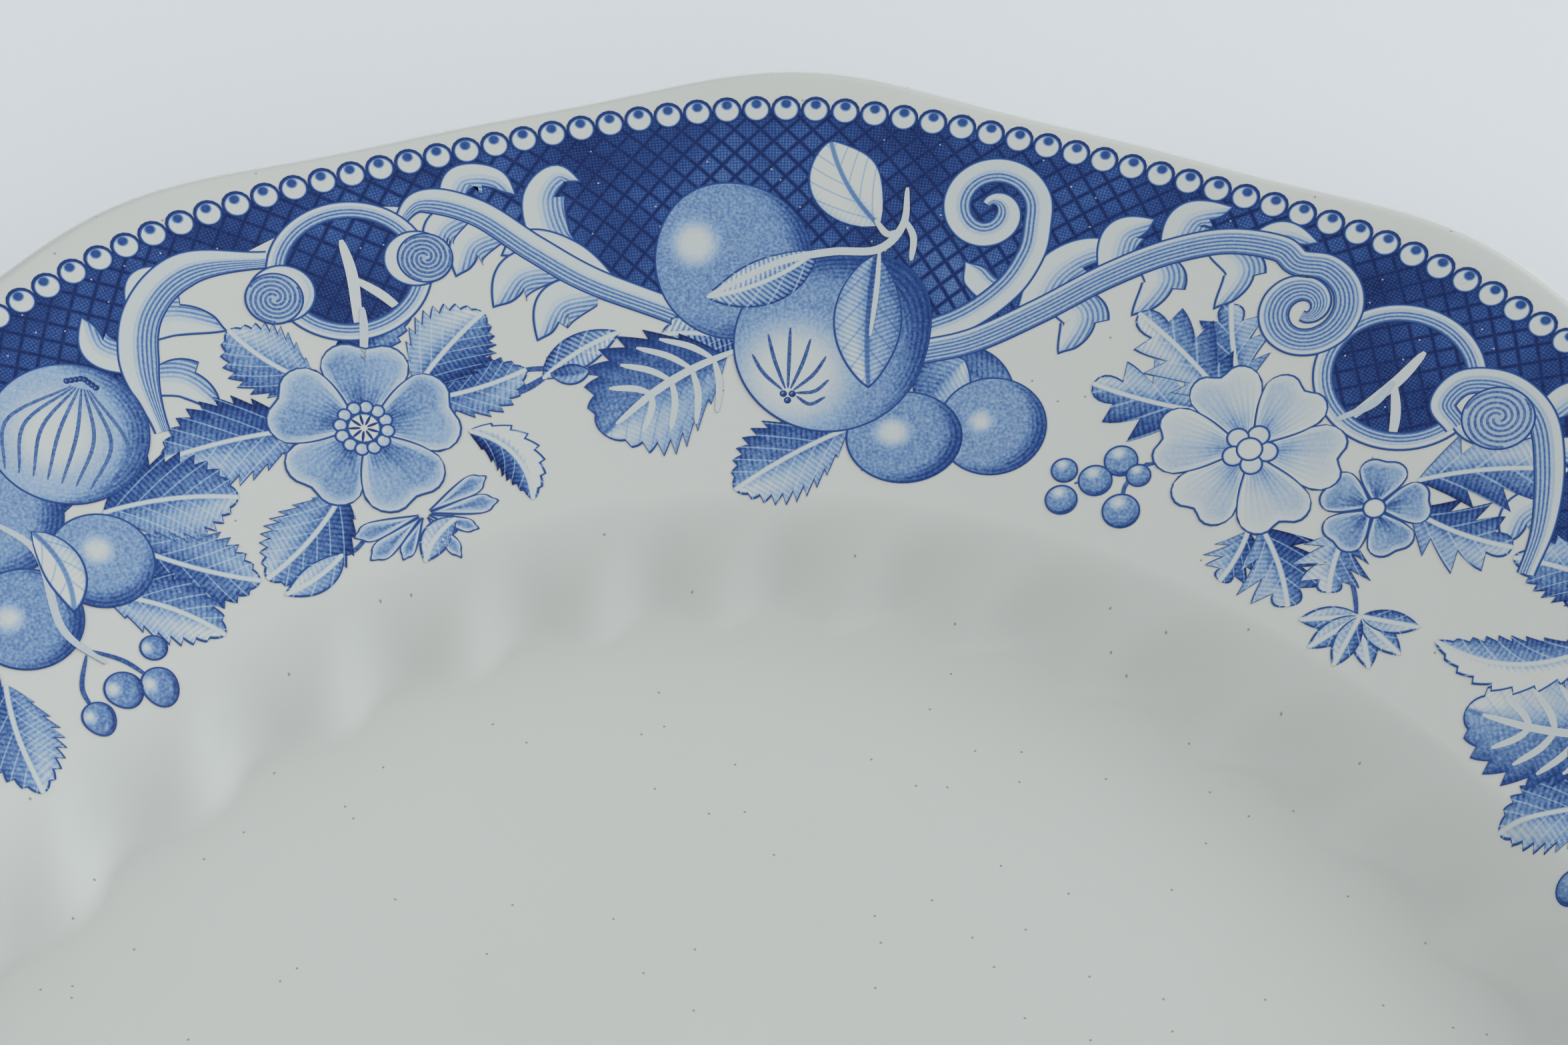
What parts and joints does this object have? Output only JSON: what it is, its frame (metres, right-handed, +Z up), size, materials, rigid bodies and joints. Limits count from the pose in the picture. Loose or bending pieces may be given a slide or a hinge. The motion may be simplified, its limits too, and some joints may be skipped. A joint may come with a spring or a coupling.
{
  "type": "serving platter",
  "caption": "Oval china serving platter with a lobed rim, a fluted bouge, a flat well and a foot ring, made to carry and serve food.",
  "frame": {"origin": "centre of the platter on the plane of the foot ring, where it stands on a table", "axes": "+X along the long axis of the oval, +Y along its short axis, +Z up out of the well"},
  "size_m": [0.4044, 0.312, 0.0311],
  "materials": {
    "cream_glaze": "clear lead-type glaze over cream earthenware",
    "printed_glaze": "blue underglaze transfer print under clear glaze"
  },
  "bodies": {
    "root": {"rim": "printed_glaze", "bouge": "cream_glaze", "well": "cream_glaze", "foot_ring": "cream_glaze"}
  },
  "joints": []
}
